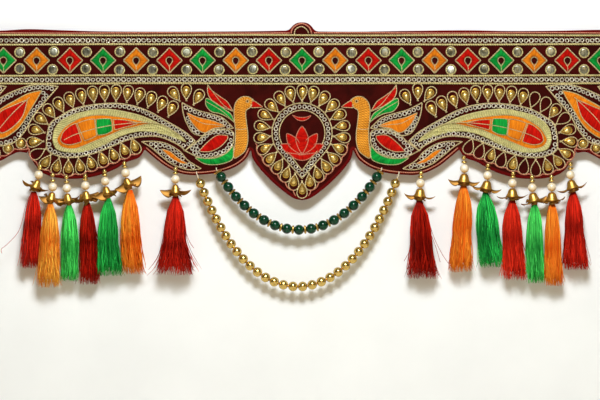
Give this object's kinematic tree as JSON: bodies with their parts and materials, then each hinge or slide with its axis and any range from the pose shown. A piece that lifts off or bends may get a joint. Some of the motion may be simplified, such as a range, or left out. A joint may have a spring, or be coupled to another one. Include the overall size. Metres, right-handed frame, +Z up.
{
  "type": "embroidered toran door hanging",
  "caption": "Embroidered velvet toran that hangs over a doorway, with a scalloped lower edge, bead swags and silk tassels under petal caps.",
  "frame": {"origin": "middle of the panel's top edge, on its back", "axes": "+X along the door head, +Z up, -Y towards the room from the embroidered face"},
  "size_m": [0.914, 0.0219, 0.2683],
  "materials": {
    "velvet": "pile with metal thread embroidery",
    "green_beads": "polished",
    "gold_beads": "gold plated",
    "pearls": "pearl",
    "caps": "aged",
    "red_silk": "silk thread",
    "dark_silk": "silk thread",
    "orange_silk": "silk thread",
    "green_silk": "silk thread"
  },
  "bodies": {
    "root": {"velvet_panel": "velvet", "green_swag": "green_beads", "gold_swag": "gold_beads", "beads_left_1": "pearls", "cap_left_1": "caps", "tassel_left_1": "red_silk", "beads_left_2": "pearls", "cap_left_2": "caps", "tassel_left_2": "orange_silk", "beads_left_3": "pearls", "cap_left_3": "caps", "tassel_left_3": "green_silk", "beads_left_4": "pearls", "cap_left_4": "caps", "tassel_left_4": "dark_silk", "beads_left_5": "pearls", "cap_left_5": "caps", "tassel_left_5": "green_silk", "beads_left_6": "pearls", "cap_left_6": "caps", "tassel_left_6": "orange_silk", "beads_left_7": "pearls", "cap_left_7": "caps", "tassel_left_7": "red_silk", "beads_right_1": "pearls", "cap_right_1": "caps", "tassel_right_1": "dark_silk", "beads_right_2": "pearls", "cap_right_2": "caps", "tassel_right_2": "orange_silk", "beads_right_3": "pearls", "cap_right_3": "caps", "tassel_right_3": "green_silk", "beads_right_4": "pearls", "cap_right_4": "caps", "tassel_right_4": "red_silk", "beads_right_5": "pearls", "cap_right_5": "caps", "tassel_right_5": "green_silk", "beads_right_6": "pearls", "cap_right_6": "caps", "tassel_right_6": "orange_silk", "beads_right_7": "pearls", "cap_right_7": "caps", "tassel_right_7": "red_silk"}
  },
  "joints": []
}
